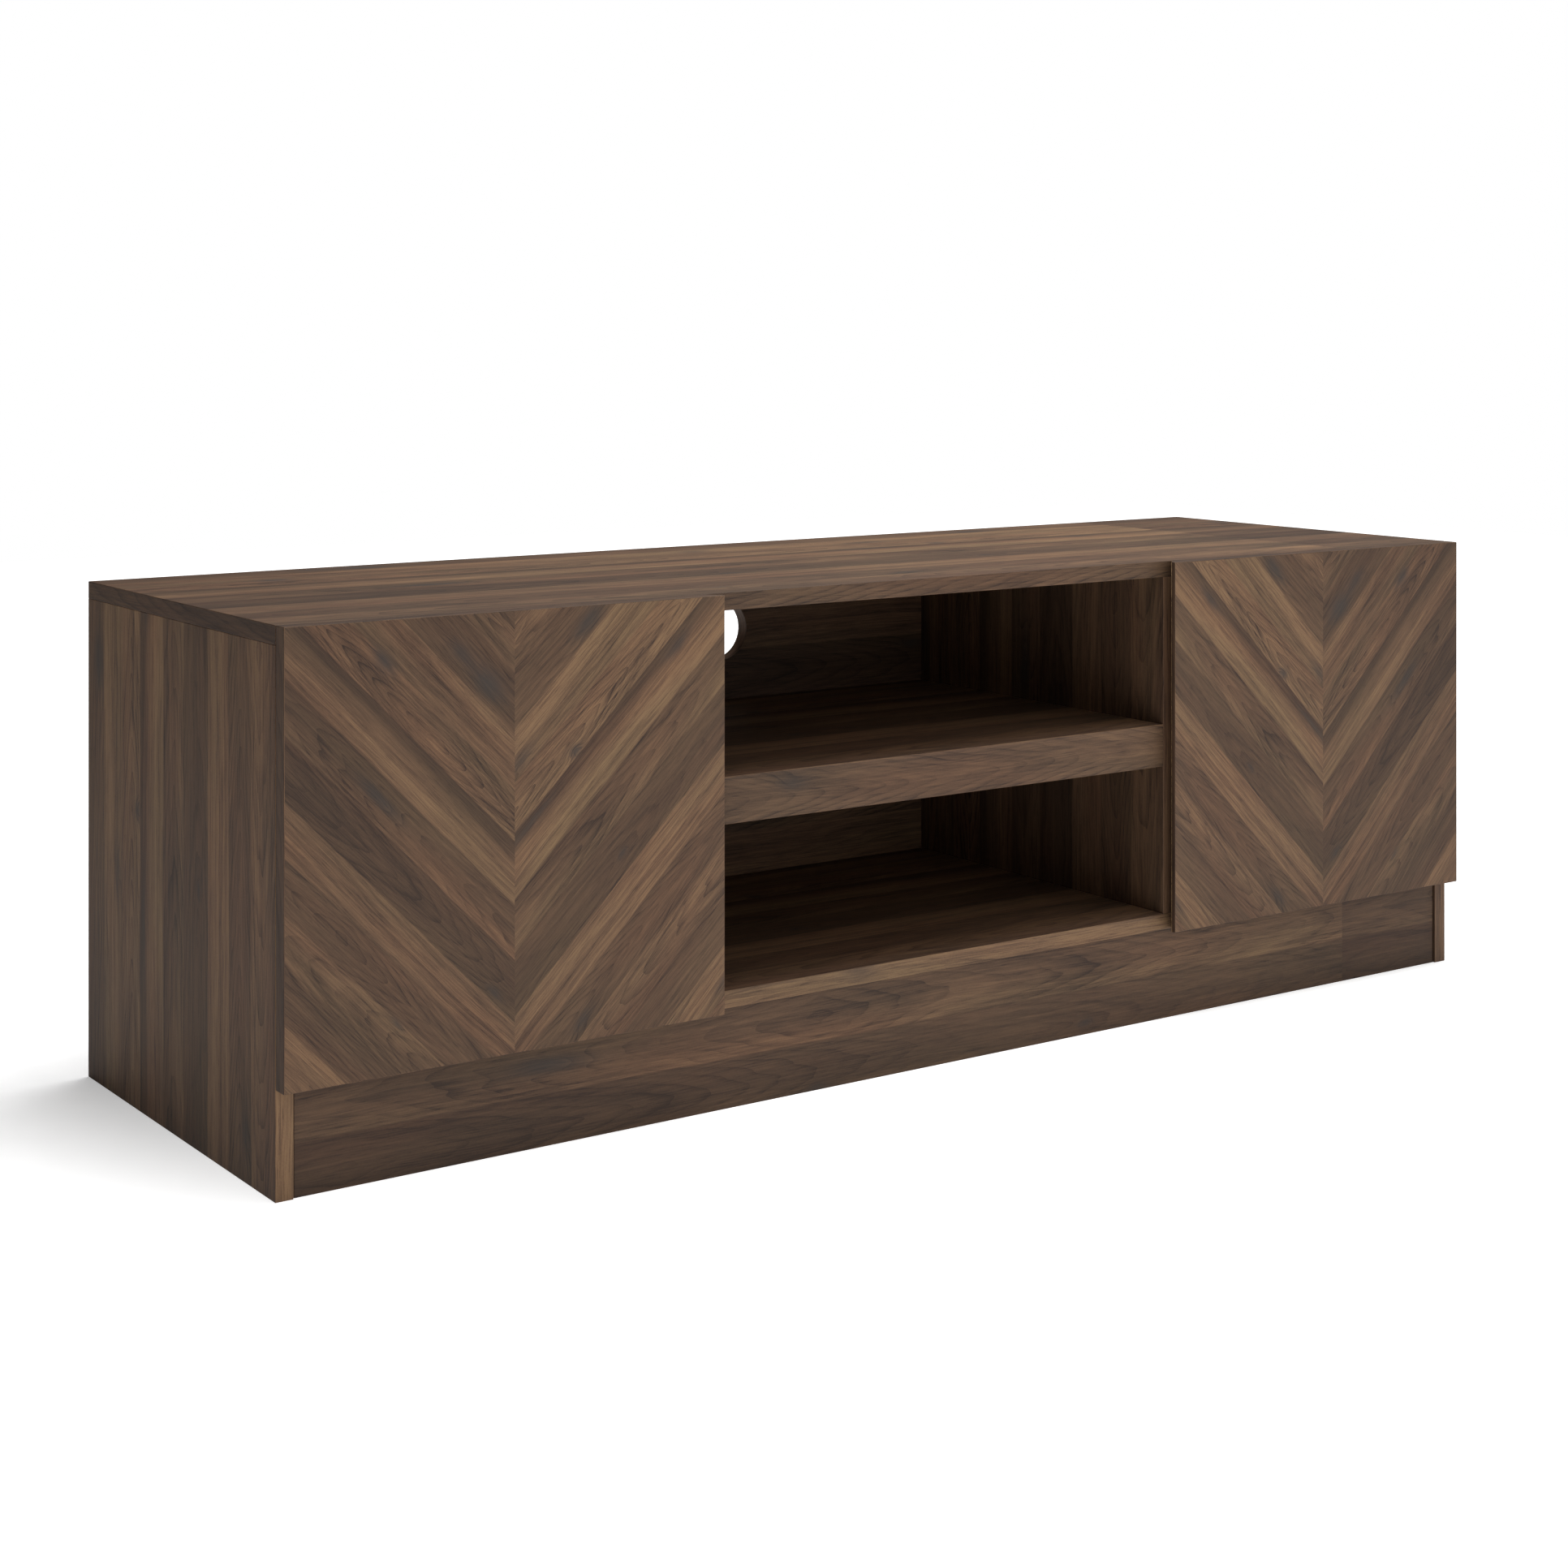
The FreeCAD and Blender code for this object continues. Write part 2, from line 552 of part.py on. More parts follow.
def adjusting_screws(z):
    """The grub screw that shifts the arm sideways, and the one that clamps it to the plate."""
    web_top = LEFT + ARM_TOP_U
    grub_start = hinge_point(PLATE_RIDGE_TOP_U, ADJUST_SIDE_W, z)
    grub = rod(grub_start, X_AXIS, ADJUST_SCREW_RADIUS, web_top - grub_start.x)
    grub = grub.cut(rod(FreeCAD.Vector(web_top, FRONT + ADJUST_SIDE_W, z), X_AXIS * -1, 1.3, 1.2))
    clamp_start = hinge_point(PLATE_RIDGE_TOP_U - 4.0, ADJUST_DEPTH_W, z)
    clamp = rod(clamp_start, X_AXIS, ADJUST_SCREW_RADIUS, web_top - clamp_start.x)
    seat = FreeCAD.Vector(web_top, FRONT + ADJUST_DEPTH_W, z)
    head_height = 2.0
    head = rod(seat, X_AXIS, ADJUST_SCREW_HEAD_RADIUS, head_height)
    clamp = fused([clamp, head]).cut(rod(seat + X_AXIS * head_height, X_AXIS * -1, 1.6, 1.4))
    return [grub, clamp]


def door_bumper(z):
    """A soft self-stick pad between the door's back and the carcass's edge."""
    return rod(hinge_point(BUMPER_U, -DOOR_GAP, z), Y_AXIS, BUMPER_RADIUS, BUMPER_THICK)


def hinge_heights():
    return (PLINTH_HEIGHT + HINGE_FROM_END, HEIGHT - HINGE_FROM_END)


def left_door_nodes():
    """Every node of the left door and its two hinges. The door's board is drilled for them."""
    door = left_door_board()
    heights = hinge_heights()
    cup_screws = []
    for z in heights:
        door = door.cut(cup_bore(z))
        for place in cup_screw_places(z):
            screw = cup_screw(place)
            door = door.cut(screw)
            cup_screws.append(screw)
    plate_screws = []
    screws = []
    for z in heights:
        plate_screws += [plate_screw(z + side * PLATE_SCREW_Z) for side in (-1, 1)]
        screws += adjusting_screws(z)
    return {
        "door_panel": [door],
        "hinge_cups": [hinge_cup(z) for z in heights],
        "cup_screws": cup_screws,
        "cup_pins": [across_hinge(CUP_PIN, z, CUP_PIN_HALF_LENGTH, PIN_RADIUS) for z in heights],
        "hinge_links": [hinge_link(z) for z in heights],
        "hinge_arms": [hinge_arm(z) for z in heights],
        "arm_pins": [across_hinge(ARM_PIN, z, ARM_CHEEK_OUTSIDE, PIN_RADIUS) for z in heights],
        "mounting_plates": [mounting_plate(z) for z in heights],
        "plate_screws": plate_screws,
        "adjusting_screws": screws,
        "door_bumpers": [door_bumper(z) for z in (PLINTH_HEIGHT + BOARD / 2, HEIGHT - BOARD / 2)],
    }


# ---------------------------------------------------------------- assembly and export
def all_nodes():
    """Node name to its list of separate solids."""
    boards = plain_boards()
    fix = Fixings(boards)
    fix_top(fix)
    fix_bottom(fix)
    fix_back(fix)
    fix_plinths(fix)
    fix_shelf(fix)
    nodes = {}
    for name, solids in left_door_nodes().items():
        nodes["left_" + name] = solids
        nodes["right_" + name] = [mirrored(s) for s in solids]
    for side in ("left", "right"):
        for screw in nodes[side + "_plate_screws"]:
            fix.drill(side + "_side_panel", screw)
    for name, board in boards.items():
        nodes[name] = [board]
    nodes["cam_locks"] = fix.cams
    nodes["cam_bolts"] = fix.bolts
    nodes["wood_dowels"] = fix.dowels
    nodes["panel_screws"] = fix.screws
    nodes["strip_screws"] = fix.strip_screws
    return nodes


def main():
    os.makedirs("parts", exist_ok=True)
    for name, solids in sorted(all_nodes().items()):
        shape = solids[0].Solids[0] if len(solids) == 1 else Part.makeCompound(solids)
        problems = [s for s in shape.Solids if not s.isValid() or s.Volume <= 0]
        shape.exportStep(os.path.join("parts", name + ".step"))
        print(f"{name}: {len(shape.Solids)} solid(s), {shape.Volume / 1000:.1f} cm3, {len(problems)} bad")


main()
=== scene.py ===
"""Looks for a low television stand in printed walnut laminate: two chevron doors round an open bay.

Every board is one print, laid over it at its own place and turned to run with the board.
The print's own coordinates are a UV map in metres, u along the grain and v across the planks. The materials
wrap them to one repeat of the print and work in millimetres.
"""
import json
import math

import bmesh
import bpy
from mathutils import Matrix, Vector


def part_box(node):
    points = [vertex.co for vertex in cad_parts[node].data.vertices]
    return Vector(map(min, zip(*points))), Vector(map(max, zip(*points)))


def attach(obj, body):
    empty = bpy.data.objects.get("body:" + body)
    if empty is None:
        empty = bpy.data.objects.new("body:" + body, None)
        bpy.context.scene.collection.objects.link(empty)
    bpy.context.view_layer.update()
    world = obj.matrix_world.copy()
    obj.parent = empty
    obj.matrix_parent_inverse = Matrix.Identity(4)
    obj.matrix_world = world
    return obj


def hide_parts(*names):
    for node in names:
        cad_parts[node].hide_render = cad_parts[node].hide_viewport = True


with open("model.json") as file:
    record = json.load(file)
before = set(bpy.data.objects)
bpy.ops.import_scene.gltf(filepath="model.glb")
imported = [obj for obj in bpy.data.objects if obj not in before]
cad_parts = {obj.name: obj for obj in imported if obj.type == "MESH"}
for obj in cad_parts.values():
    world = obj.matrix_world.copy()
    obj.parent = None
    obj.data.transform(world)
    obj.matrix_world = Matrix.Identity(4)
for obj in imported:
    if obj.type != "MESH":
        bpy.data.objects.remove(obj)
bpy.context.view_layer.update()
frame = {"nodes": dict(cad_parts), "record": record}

bl_info = {
    "name": "Walnut Television Stand",
    "version": (1, 0, 0),
    "blender": (4, 5, 0),
    "location": "View3D > Sidebar > Stand",
    "description": "Printed walnut boards, chevron doors, concealed hinges and a soft studio",
    "category": "Object",
}

MM = 0.001
PRINT_UV = "Print"
HEART_RANGE = 400.0       # mm across the print that a heart's place is kept as a share of
DEPTH_RANGE = 200.0       # mm below the face that a heart's depth is kept as a share of
BOARD_FINISHES = ("walnut_laminate", "walnut_edge_band", "raw_chipboard")
PLAIN_BAND_START = (300.0, 300.0)      # mm, where the print starts on an edge band that asks for no place
SHORTEST_ROUNDED_EDGE = 14 * MM
CAMERA_PLACE = (-1.4562, -2.0233, 0.6667)
FLOOR_HALF_WIDTH = 5.0

# One repeat of the print, from its back edge: each plank's width, then the tones across it.
# A tone of 1 is the print's mean colour.
PLANKS = (
    (40, (0.70, 0.86)),
    (42, (1.40, 1.06)),
    (42, (1.10, 1.32)),
    (52, (0.50, 0.66, 1.10, 1.38, 1.28, 1.16)),
    (43, (0.74, 0.82, 1.06)),
    (50, (0.68, 0.56, 0.64)),
    (43, (1.14, 1.26, 1.08)),
    (44, (0.84, 0.76)),
    (44, (1.20, 0.76)),
)
# How each plank was sawn: where its heart lies across the print and how deep below the face, both in mm, and how
# strongly its rings show.
SAWN = (
    (60, 16, 0.7),
    (20, 60, 0.5),
    (106, 4, 1.0),
    (40, 120, 0.3),
    (198, 18, 0.8),
    (246, 16, 0.8),
    (150, 160, 0.4),
    (334, 6, 1.0),
    (372, 14, 0.8),
)
# Knots and dark smudges: place along and across the print, half-length and half-width, all in mm, then darkness.
KNOTS = (
    (135, 85, 16, 9, 0.60),
    (251, 19, 24, 13, 0.65),
    (202, 17, 20, 9, 0.45),
    (238, 198, 34, 6, 0.50),
    (502, 263, 12, 5, 0.40),
    (428, 358, 10, 4, 0.45),
    (968, 26, 26, 11, 0.60),
    (1029, 136, 22, 7, 0.50),
    (850, 118, 10, 6, 0.60),
    (799, 74, 22, 7, 0.40),
    (808, 250, 10, 4, 0.45),
    (759, 132, 40, 4, 0.45),
    (640, 344, 18, 8, 0.40),
    (590, 60, 20, 12, 0.30),
)


def linear(code):
    """An sRGB hex colour as linear RGB."""
    parts = [int(code[i:i + 2], 16) / 255 for i in (1, 3, 5)]
    return [c / 12.92 if c <= 0.04045 else ((c + 0.055) / 1.055) ** 2.4 for c in parts]


# ---------------------------------------------------------------- sizes and colours a user would change
class PrintSettings(bpy.types.PropertyGroup):
    """The printed paper that covers every board."""

    repeat_length: bpy.props.FloatProperty(
        name="Repeat Length", description="Length of the print before it starts again",
        default=1150 * MM, unit="LENGTH")
    chevron_scale: bpy.props.FloatProperty(
        name="Chevron Scale", description="Size of the doors' print against the plain boards'",
        default=0.70, subtype="FACTOR", min=0.3, max=1.5)
    ring_spacing: bpy.props.FloatProperty(
        name="Ring Spacing", description="Distance between the figure's growth rings",
        default=5 * MM, unit="LENGTH")
    pore_width: bpy.props.FloatProperty(
        name="Pore Width", description="Width of a pore, drawn coarser than real so that it shows",
        default=0.7 * MM, unit="LENGTH")
    pore_length: bpy.props.FloatProperty(
        name="Pore Length", description="Length of a pore along the grain",
        default=16 * MM, unit="LENGTH")
    dark_walnut: bpy.props.FloatVectorProperty(
        name="Dark Walnut", description="Colour of the darkest streaks", default=linear("#33261f"),
        subtype="COLOR", min=0, max=1)
    mid_walnut: bpy.props.FloatVectorProperty(
        name="Mid Walnut", description="Colour of the print's middle tone", default=linear("#5f4837"),
        subtype="COLOR", min=0, max=1)
    pale_walnut: bpy.props.FloatVectorProperty(
        name="Pale Walnut", description="Colour of the palest streaks", default=linear("#7b6047"),
        subtype="COLOR", min=0, max=1)
    knot_stain: bpy.props.FloatVectorProperty(
        name="Knot Stain", description="Colour of the wood round a knot", default=linear("#3a3735"),
        subtype="COLOR", min=0, max=1)


class BoardSettings(bpy.types.PropertyGroup):
    """How the boards are finished."""

    edge_round: bpy.props.FloatProperty(
        name="Edge Round", description="Radius that the edge banding is scraped to",
        default=0.5 * MM, unit="LENGTH")
    seam_from_hinge: bpy.props.FloatProperty(
        name="Seam From Hinge Edge", description="Door's hinge edge to the middle of its chevron",
        default=196 * MM, unit="LENGTH")


class FittingSettings(bpy.types.PropertyGroup):
    """Colours of the fixings, the hinges and the bare board."""

    chipboard: bpy.props.FloatVectorProperty(
        name="Chipboard", description="Bare particle board inside the holes", default=linear("#8c6f4a"),
        subtype="COLOR", min=0, max=1)
    zinc_casting: bpy.props.FloatVectorProperty(
        name="Zinc Casting", description="Cam locks", default=linear("#a9abad"), subtype="COLOR", min=0, max=1)
    zinc_plate: bpy.props.FloatVectorProperty(
        name="Zinc Plate", description="Screws and cam bolts", default=linear("#c3c6c8"),
        subtype="COLOR", min=0, max=1)
    nickel_plate: bpy.props.FloatVectorProperty(
        name="Nickel Plate", description="Hinges", default=linear("#c9c4ba"), subtype="COLOR", min=0, max=1)
    beech: bpy.props.FloatVectorProperty(
        name="Beech", description="Dowels", default=linear("#cfa67c"), subtype="COLOR", min=0, max=1)
    pad: bpy.props.FloatVectorProperty(
        name="Pad", description="Door bumpers", default=linear("#eeeeea"), subtype="COLOR", min=0, max=1)


class StageSettings(bpy.types.PropertyGroup):
    """Camera and studio light."""

    lens: bpy.props.FloatProperty(
        name="Lens", description="Focal length on a 36 mm wide sensor", default=59.93, subtype="DISTANCE_CAMERA")
    azimuth: bpy.props.FloatProperty(
        name="Azimuth", description="Turn of the level camera from facing the doors squarely",
        default=math.radians(-34.79), subtype="ANGLE")
    shift_y: bpy.props.FloatProperty(
        name="Shift", description="Downward shift that keeps the upright lines parallel",
        default=-0.2976, subtype="FACTOR", min=-1, max=1)
    sky: bpy.props.FloatProperty(
        name="Sky Light", description="Strength of the white surroundings overhead and in front", default=0.86, min=0)
    dim_sky: bpy.props.FloatProperty(
        name="Dim Sky Light", description="Strength of the surroundings behind the stand", default=0.04, min=0)
    key_power: bpy.props.FloatProperty(
        name="Key Power", description="Power of the large soft key light", default=91.0, unit="POWER")
    floor_glow: bpy.props.FloatProperty(
        name="Floor Glow", description="Light thrown up by the floor in front of the doors", default=0.82, min=0)
    paper: bpy.props.FloatVectorProperty(
        name="Studio Paper", description="Colour of the floor", default=linear("#f0f0f0"),
        subtype="COLOR", min=0, max=1)


SETTINGS = (PrintSettings, BoardSettings, FittingSettings, StageSettings)


# ---------------------------------------------------------------- node helpers
def add(tree, kind, inputs=(), **settings):
    """Adds a shader node with its settings and inputs.

    inputs go by order or by name. Each is a value, a socket to link from, or a node whose first output is linked.
    """
    node = tree.nodes.new("ShaderNode" + kind)
    for name, value in settings.items():
        setattr(node, name, value)
    for name, value in (inputs.items() if isinstance(inputs, dict) else enumerate(inputs)):
        if isinstance(value, bpy.types.Node):
            value = value.outputs[0]
        if isinstance(value, bpy.types.NodeSocket):
            tree.links.new(value, node.inputs[name])
        else:
            node.inputs[name].default_value = value
    return node


def with_stops(node, stops, interpolation="LINEAR"):
    """Fills a Color Ramp node with (position, linear RGBA) stops."""
    ramp = node.color_ramp
    ramp.interpolation = interpolation
    ramp.elements[0].position, ramp.elements[0].color = stops[0]
    ramp.elements[1].position, ramp.elements[1].color = stops[-1]
    for place, colour in stops[1:-1]:
        ramp.elements.new(place).color = colour
    return node


def shaded(colour, factor=1.0):
    """A colour property as RGBA, darkened or lightened."""
    return [part * factor for part in colour] + [1.0]


def new_material(name):
    """An empty node material with its Principled shader: (material, tree, shader)."""
    material = bpy.data.materials.new(name)
    material.use_nodes = True
    tree = material.node_tree
    tree.nodes.clear()
    shader = add(tree, "BsdfPrincipled")
    add(tree, "OutputMaterial", {"Surface": shader})
    return material, tree, shader


# ---------------------------------------------------------------- the walnut print
def print_height():
    """Width of one repeat of the print across the planks, in mm."""
    return float(sum(width for width, _ in PLANKS))


def tone_stops():
    """Ramp stops for the tone across the print, halved so that a tone of 2 is white."""
    sharp = 0.2 / print_height()
    stops = []
    edge = 0.0
    for width, tones in PLANKS:
        for i, tone in enumerate(tones):
            place = (edge + width * i / (len(tones) - 1)) / print_height()
            if i == 0:
                place += sharp
            if i == len(tones) - 1:
                place -= sharp
            stops.append((place, (tone / 2, tone / 2, tone / 2, 1)))
        edge += width
    return stops


def plank_stops(values):
    """Constant ramp stops that give each plank its own three values."""
    stops = []
    edge = 0.0
    for (width, _), value in zip(PLANKS, values):
        stops.append((edge / print_height(), (*value, 1)))
        edge += width
    return stops


def print_coordinates(tree, settings):
    """The place within one repeat of the print, in millimetres, as two nodes (u, v)."""
    laid = add(tree, "UVMap", uv_map=PRINT_UV)
    millimetres = add(tree, "VectorMath", {0: laid, "Scale": 1 / MM}, operation="SCALE")
    parts = add(tree, "SeparateXYZ", (millimetres,))
    u = add(tree, "Math", (parts.outputs["X"], settings.repeat_length / MM, 0.0), operation="WRAP")
    v = add(tree, "Math", (parts.outputs["Y"], print_height(), 0.0), operation="WRAP")
    return u, v


def knot_field(tree, place):
    """Sum of the knots' soft mounds, each 1 at its heart times its darkness."""
    total = 0.0
    for along, across, half_length, half_width, darkness in KNOTS:
        scale = (1 / half_length, 1 / half_width, 0)
        offset = (-along / half_length, -across / half_width, 0)
        local = add(tree, "VectorMath", (place, scale, offset), operation="MULTIPLY_ADD")
        square = add(tree, "VectorMath", (local, local), operation="DOT_PRODUCT").outputs["Value"]
        mound = add(tree, "Math", (math.exp(-1), square), operation="POWER")
        total = add(tree, "Math", (mound, darkness, total), operation="MULTIPLY_ADD")
    return total


def walnut_tone(tree, settings):
    """The print's figure as nodes: its tone, fine fibres, pores, slow hue drift and knots."""
    u, v = print_coordinates(tree, settings)
    v_share = add(tree, "Math", (v, print_height()), operation="DIVIDE")
    planks = with_stops(add(tree, "ValToRGB", (v_share,)), tone_stops())
    seeds = [(i * 0.37 % 1, i * 0.61 % 1, i * 0.83 % 1) for i in range(len(PLANKS))]
    hearts = [(middle / HEART_RANGE, depth / DEPTH_RANGE, strength) for middle, depth, strength in SAWN]
    seed, heart = (
        add(tree, "SeparateColor", (with_stops(add(tree, "ValToRGB", (v_share,)), plank_stops(values), "CONSTANT"),))
        for values in (seeds, hearts))
    own_place = add(tree, "Math", (seed.outputs["Red"], 90.0), operation="MULTIPLY")
    place = add(tree, "CombineXYZ", (u, v, own_place))

    def wood(along_mm, across_mm, spot=place, detail=1.0, roughness=0.5):
        """A pattern from -1 to 1 whose lumps are about along_mm by across_mm."""
        sized = add(tree, "VectorMath", (spot, (1 / along_mm, 1 / across_mm, 1.0)), operation="MULTIPLY")
        lumps = add(tree, "TexNoise", {"Vector": sized, "Scale": 1.0, "Detail": detail, "Roughness": roughness})
        return add(tree, "Math", (lumps, 2.0, -1.0), operation="MULTIPLY_ADD")

    # the grain wanders a few millimetres across the plank, ripples a little, and parts round the knots
    wander = wood(300, 70)
    ripple = wood(60, 13, detail=2.0)
    bent = add(tree, "Math", (wander, 6.0, v), operation="MULTIPLY_ADD")
    bent = add(tree, "Math", (ripple, 1.3, bent), operation="MULTIPLY_ADD")
    ragged = add(tree, "Math", (ripple, 9.0, u), operation="MULTIPLY_ADD")
    rough_edge = add(tree, "Math", (ripple, 3.0, bent), operation="MULTIPLY_ADD")
    knots = knot_field(tree, add(tree, "CombineXYZ", (ragged, rough_edge)))
    bent = add(tree, "Math", (knots, 5.0, bent), operation="MULTIPLY_ADD")

    # growth rings round a heart below the face, tapering away from an apex: flat-sawn planks show nested arches
    middle = add(tree, "Math", (heart.outputs["Red"], HEART_RANGE), operation="MULTIPLY")
    aside = add(tree, "Math", (bent, middle), operation="SUBTRACT")
    depth = add(tree, "Math", (heart.outputs["Green"], DEPTH_RANGE), operation="MULTIPLY")
    depth_squared = add(tree, "Math", (depth, depth), operation="MULTIPLY")
    squares = add(tree, "Math", (aside, aside, depth_squared), operation="MULTIPLY_ADD")
    radius = add(tree, "Math", (squares,), operation="SQRT")
    apex = add(tree, "Math", (seed.outputs["Green"], settings.repeat_length / MM), operation="MULTIPLY")
    from_apex = add(tree, "Math", (add(tree, "Math", (u, apex), operation="SUBTRACT"),), operation="ABSOLUTE")
    flatness = add(tree, "Math", (heart.outputs["Blue"], 2.0), operation="POWER")
    taper = add(tree, "Math", (flatness, 0.16), operation="MULTIPLY")
    radius = add(tree, "Math", (from_apex, taper, radius), operation="MULTIPLY_ADD")
    radius = add(tree, "Math", (wander, 7.0, radius), operation="MULTIPLY_ADD")
    radius = add(tree, "Math", (knots, 14.0, radius), operation="MULTIPLY_ADD")
    rings = add(tree, "Math", (radius, settings.ring_spacing / MM), operation="DIVIDE")
    rings = add(tree, "Math", (wood(130, 16, detail=2.0), 0.8, rings), operation="MULTIPLY_ADD")
    ring = add(tree, "Math", (add(tree, "Math", (rings,), operation="FRACT"), 4.0), operation="POWER")
    fading = add(tree, "Math", (wood(110, 22), 1.3, 0.6), operation="MULTIPLY_ADD", use_clamp=True)
    strength = add(tree, "Math", (fading, heart.outputs["Blue"]), operation="MULTIPLY")
    late_wood = add(tree, "Math", (ring, strength), operation="MULTIPLY")

    # broad bands follow the rings; streaks, fibres and pores run straight along the plank
    flow = add(tree, "CombineXYZ", (u, radius, own_place))
    straight = add(tree, "CombineXYZ", (u, bent, own_place))
    band = wood(420, 9, flow, detail=3.0, roughness=0.6)
    streak = wood(230, 4.4, straight, detail=4.0, roughness=0.75)
    fibre = wood(34, 1.2, straight)
    cloud = wood(150, 40, detail=3.0)
    grit = wood(1.6, 1.2)
    pore_noise = wood(settings.pore_length / MM, settings.pore_width / MM, straight)
    pore = add(tree, "Math", (pore_noise, 5.0, -0.9), operation="MULTIPLY_ADD", use_clamp=True)
    change = 1.0
    for part, amount in ((band, 0.60), (streak, 0.86), (fibre, 0.50), (cloud, 0.30), (grit, 0.16),
                         (late_wood, -0.62), (pore, -0.30)):
        change = add(tree, "Math", (part, amount, change), operation="MULTIPLY_ADD")
    tone = add(tree, "Math", (planks, 2.0), operation="MULTIPLY")
    # the print darkens slowly towards its start, which is what shows where it begins again
    drift = add(tree, "Math", (u, 0.40 / (settings.repeat_length / MM), 0.80), operation="MULTIPLY_ADD")
    shade = add(tree, "Math", (knots, -0.65, 1.0), operation="MULTIPLY_ADD", use_clamp=True)
    for part in (change, drift, shade):
        tone = add(tree, "Math", (tone, part), operation="MULTIPLY")
    return tone, fibre, pore, wood(240, 40), knots


def walnut_laminate(name):
    """Melamine-faced board: a printed walnut paper pressed under resin with shallow pores.

    The resin is matt and even, so the eye gets the print's brown with only a soft, milky sheen at low angles, and
    no depth or glitter of its own as oiled wood has.
    """
    settings = bpy.context.scene.stand_print
    material, tree, shader = new_material(name)
    tone, fibre, pore, hue, knots = walnut_tone(tree, settings)
    half_tone = add(tree, "Math", (tone, 0.5), operation="MULTIPLY")
    colour = with_stops(add(tree, "ValToRGB", (half_tone,)), [
        (0.12, shaded(settings.dark_walnut)),
        (0.53, shaded(settings.mid_walnut)),
        (0.92, shaded(settings.pale_walnut)),
    ])
    hue_share = add(tree, "Math", (hue, 0.5, 0.5), operation="MULTIPLY_ADD")
    tint = with_stops(add(tree, "ValToRGB", (hue_share,)), [
        (0.30, (1.04, 0.985, 0.95, 1)), (0.50, (1.0, 1.0, 0.97, 1)), (0.70, (0.965, 1.01, 0.96, 1))])
    tinted = add(tree, "Mix", {"Factor": 1.0}, data_type="RGBA", blend_type="MULTIPLY")
    tree.links.new(colour.outputs[0], tinted.inputs["A"])
    tree.links.new(tint.outputs[0], tinted.inputs["B"])
    # the wood round a knot is stained a cold grey
    stain = add(tree, "Math", (knots, 0.9), operation="MULTIPLY", use_clamp=True)
    stained = add(tree, "Mix", {"Factor": stain, "B": shaded(settings.knot_stain)}, data_type="RGBA")
    tree.links.new(tinted.outputs["Result"], stained.inputs["A"])
    tree.links.new(stained.outputs["Result"], shader.inputs["Base Color"])
    rough = add(tree, "Math", (fibre, 0.05, 0.62), operation="MULTIPLY_ADD")
    tree.links.new(rough.outputs[0], shader.inputs["Roughness"])
    height = add(tree, "Math", (pore, -1.0, fibre), operation="MULTIPLY_ADD")
    bump = add(tree, "Bump", {"Strength": 0.25, "Distance": 0.05 * MM, "Height": height})
    tree.links.new(bump.outputs[0], shader.inputs["Normal"])
    shader.inputs["IOR"].default_value = 1.5
    shader.inputs["Specular IOR Level"].default_value = 0.2
    return material


def raw_chipboard():
    """Particle board, where a hole cuts through the laminate: pale pressed chips, dull and coarse to the eye."""
    settings = bpy.context.scene.stand_fittings
    material, tree, shader = new_material("raw_chipboard")
    place = add(tree, "TexCoord").outputs["Object"]
    # chips of 2.2 mm, a little coarser than real, so that they show in the cup bores
    chips = add(tree, "TexVoronoi", {"Vector": place, "Scale": 1 / (2.2 * MM)})
    shade = add(tree, "SeparateColor", (chips.outputs["Color"],))
    colour = with_stops(add(tree, "ValToRGB", (shade,)), [
        (0.0, shaded(settings.chipboard, 0.55)), (0.5, shaded(settings.chipboard)),
        (1.0, shaded(settings.chipboard, 1.5))])
    tree.links.new(colour.outputs[0], shader.inputs["Base Color"])
    shader.inputs["Roughness"].default_value = 0.9
    bump = add(tree, "Bump", {"Strength": 0.6, "Distance": 0.3 * MM, "Height": shade})
    tree.links.new(bump.outputs[0], shader.inputs["Normal"])
    return material


def plated_metal(name, code, roughness, blotch_mm):
    """Plated steel or cast zinc: a bright mirror gone soft, blotched a little by its plating bath or mould."""
    material, tree, shader = new_material(name)
    place = add(tree, "TexCoord").outputs["Object"]
    blotch = add(tree, "TexNoise", {"Vector": place, "Scale": 1 / (blotch_mm * MM), "Detail": 3.0, "Roughness": 0.6})
    colour = with_stops(add(tree, "ValToRGB", (blotch,)), [(0.35, shaded(code, 0.86)), (0.65, shaded(code))])
    tree.links.new(colour.outputs[0], shader.inputs["Base Color"])
    shader.inputs["Metallic"].default_value = 1.0
    spread = add(tree, "Math", (blotch, 0.16, roughness - 0.08), operation="MULTIPLY_ADD")
    tree.links.new(spread.outputs[0], shader.inputs["Roughness"])
    bump = add(tree, "Bump", {"Strength": 0.2, "Distance": 0.02 * MM, "Height": blotch})
    tree.links.new(bump.outputs[0], shader.inputs["Normal"])
    return material


def cast_zinc():
    """Cams are die-cast zinc: grey and dull, with the mould's fine grain."""
    return plated_metal("cast_zinc", bpy.context.scene.stand_fittings.zinc_casting, 0.48, 1.5)


def zinc_plated_steel():
    """Screws, bolts and adjusters: blue-white zinc plate, brighter than the castings."""
    return plated_metal("zinc_plated_steel", bpy.context.scene.stand_fittings.zinc_plate, 0.34, 2.5)


def nickel_plated_steel():
    """Hinge pressings and pins: nickel plate, the warmest and most mirror-like of the metals."""
    return plated_metal("nickel_plated_steel", bpy.context.scene.stand_fittings.nickel_plate, 0.24, 6.0)


